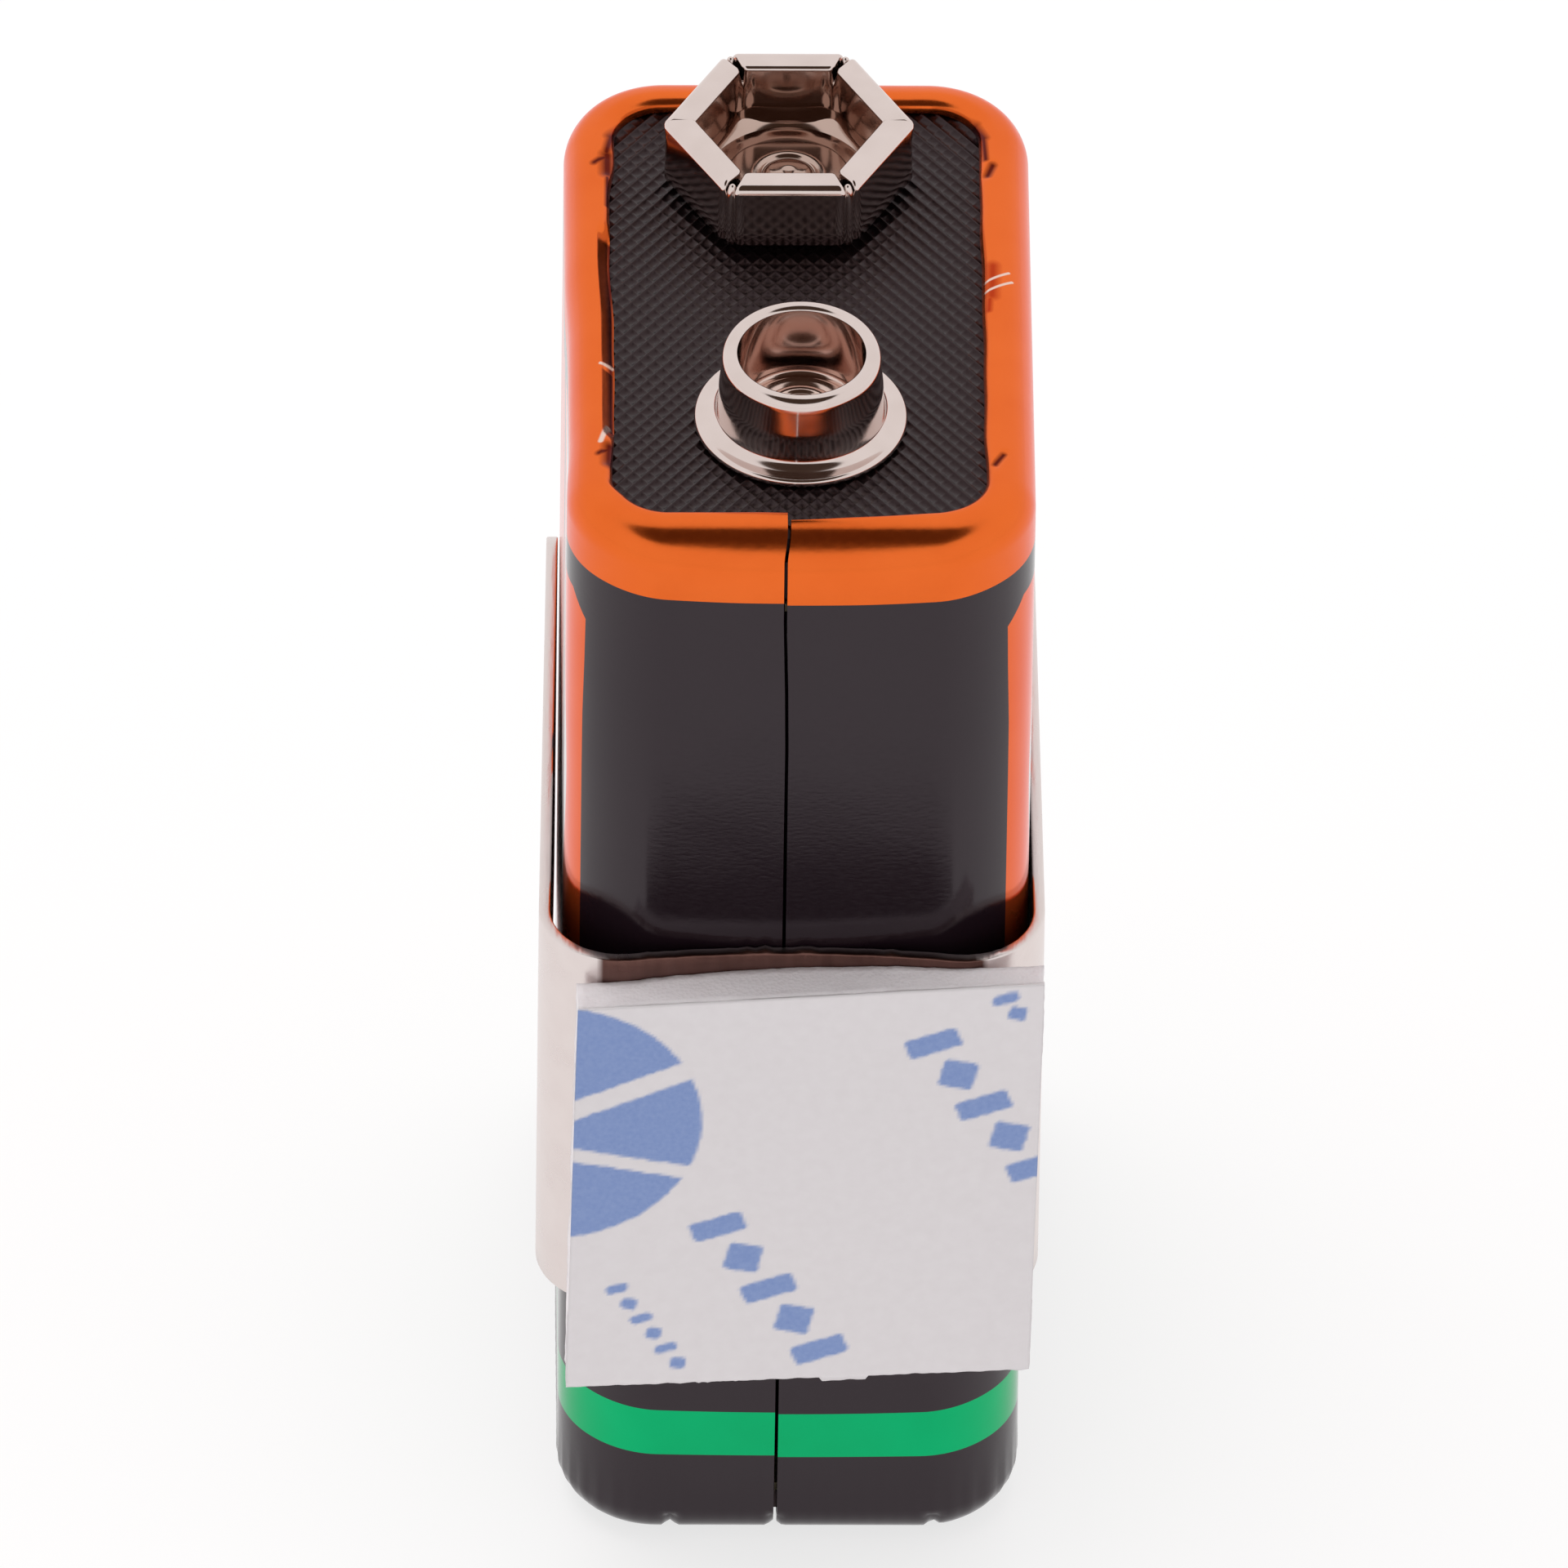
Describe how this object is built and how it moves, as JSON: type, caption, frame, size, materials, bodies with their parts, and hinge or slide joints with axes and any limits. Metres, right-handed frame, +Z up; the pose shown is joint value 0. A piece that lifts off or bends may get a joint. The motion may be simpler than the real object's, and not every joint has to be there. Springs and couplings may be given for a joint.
{
  "type": "battery holder",
  "caption": "Bowed steel spring clip with an adhesive foam pad, gripping a printed block battery with a snap stud and a snap socket on top.",
  "frame": {"origin": "middle of the battery's foot, on the plane that it stands on", "axes": "+Z up through the terminals, -Y towards the tape pad, +X to the right when the pad faces the viewer"},
  "size_m": [0.0175, 0.028, 0.0485],
  "materials": {
    "printed_jacket": "printed and lacquered sheet steel",
    "cover_plastic": "black, finely cross-hatched",
    "nickel_plate": "bright nickel plate on drawn steel",
    "cell_steel": "drawn can, satin",
    "nickel_strip": "rolled strip, satin",
    "insulating_card": "plain card",
    "plated_spring_steel": "bright nickel plate with fine rolling lines",
    "foam": "white closed-cell foam tape",
    "liner_paper": "coated release paper with slanted bars in blue"
  },
  "bodies": {
    "root": {"jacket": "printed_jacket", "top_plate": "cover_plastic", "base_plate": "cover_plastic", "positive_stud": "nickel_plate", "positive_rivet": "nickel_plate", "negative_crown": "nickel_plate", "negative_rivet": "nickel_plate", "cell_1": "cell_steel", "cell_2": "cell_steel", "cell_3": "cell_steel", "cell_4": "cell_steel", "cell_5": "cell_steel", "cell_6": "cell_steel", "bottom_link_1": "nickel_strip", "bottom_link_2": "nickel_strip", "bottom_link_3": "nickel_strip", "top_link_1": "nickel_strip", "top_link_2": "nickel_strip", "positive_lead": "nickel_strip", "negative_lead": "nickel_strip", "top_insulator": "insulating_card", "bottom_insulator": "insulating_card", "spring_clip": "plated_spring_steel", "tape_pad": "foam", "release_liner": "liner_paper"}
  },
  "joints": []
}
